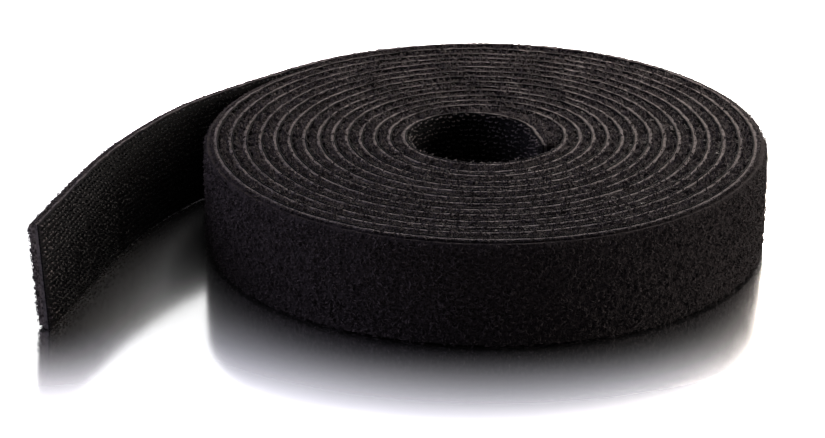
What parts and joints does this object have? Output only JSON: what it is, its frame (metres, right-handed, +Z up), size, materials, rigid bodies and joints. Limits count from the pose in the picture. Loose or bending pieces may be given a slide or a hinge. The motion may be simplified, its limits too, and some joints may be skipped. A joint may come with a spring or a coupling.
{
  "type": "hook and loop tape roll",
  "caption": "Flat roll of back-to-back hook and loop tape wound on itself with no core, loops outside, its outer end peeled off as a free tail that bends.",
  "frame": {"origin": "on the floor, at the middle of the box round the roll and its tail", "axes": "+Z up along the roll's axis, across the tape's width; +X from the tail's side towards the roll; +Y away from the side where the tail ends"},
  "size_m": [0.1312, 0.1044, 0.02],
  "materials": {
    "hook_weave": "black woven nylon ground with rows of clipped monofilament hooks",
    "bond_film": "grey polyurethane bonding film and the backs of both grounds, seen at the cut edge",
    "loop_pile": "black napped nylon loop pile, matte and fuzzy"
  },
  "bodies": {
    "roll": {"roll_hook_ply": "hook_weave", "roll_bond_film": "bond_film", "roll_loop_ply": "loop_pile"},
    "inner_tab": {"inner_tab_hook_ply": "hook_weave", "inner_tab_bond_film": "bond_film", "inner_tab_loop_ply": "loop_pile"},
    "tail_1": {"tail_1_hook_ply": "hook_weave", "tail_1_bond_film": "bond_film", "tail_1_loop_ply": "loop_pile"},
    "tail_2": {"tail_2_hook_ply": "hook_weave", "tail_2_bond_film": "bond_film", "tail_2_loop_ply": "loop_pile"},
    "tail_3": {"tail_3_hook_ply": "hook_weave", "tail_3_bond_film": "bond_film", "tail_3_loop_ply": "loop_pile"},
    "tail_4": {"tail_4_hook_ply": "hook_weave", "tail_4_bond_film": "bond_film", "tail_4_loop_ply": "loop_pile"},
    "tail_5": {"tail_5_hook_ply": "hook_weave", "tail_5_bond_film": "bond_film", "tail_5_loop_ply": "loop_pile"},
    "tail_6": {"tail_6_hook_ply": "hook_weave", "tail_6_bond_film": "bond_film", "tail_6_loop_ply": "loop_pile"}
  },
  "joints": [
    {"name": "inner_tab_bend", "type": "hinge", "parent": "roll", "child": "inner_tab", "pos_m": [0.02326, 0.00329, 0.01], "axis": [0, 0, 1], "range_deg": [-50, 0], "stiffness_Nm_per_rad": 0.0035},
    {"name": "tail_peel", "type": "hinge", "parent": "roll", "child": "tail_1", "pos_m": [-0.02693, 0.03091, 0.01], "axis": [0, 0, 1], "range_deg": [-40, 6], "stiffness_Nm_per_rad": 0.0035},
    {"name": "tail_bend_2", "type": "hinge", "parent": "tail_1", "child": "tail_2", "pos_m": [-0.03704, 0.02066, 0.01], "axis": [0, 0, 1], "range_deg": [-40, 10], "stiffness_Nm_per_rad": 0.0035},
    {"name": "tail_bend_3", "type": "hinge", "parent": "tail_2", "child": "tail_3", "pos_m": [-0.04552, 0.00907, 0.01], "axis": [0, 0, 1], "range_deg": [-40, 10], "stiffness_Nm_per_rad": 0.0035},
    {"name": "tail_bend_4", "type": "hinge", "parent": "tail_3", "child": "tail_4", "pos_m": [-0.05179, -0.00389, 0.01], "axis": [0, 0, 1], "range_deg": [-40, 10], "stiffness_Nm_per_rad": 0.0035},
    {"name": "tail_bend_5", "type": "hinge", "parent": "tail_4", "child": "tail_5", "pos_m": [-0.05642, -0.01751, 0.01], "axis": [0, 0, 1], "range_deg": [-40, 10], "stiffness_Nm_per_rad": 0.0035},
    {"name": "tail_bend_6", "type": "hinge", "parent": "tail_5", "child": "tail_6", "pos_m": [-0.05998, -0.03147, 0.01], "axis": [0, 0, 1], "range_deg": [-40, 10], "stiffness_Nm_per_rad": 0.0035}
  ]
}
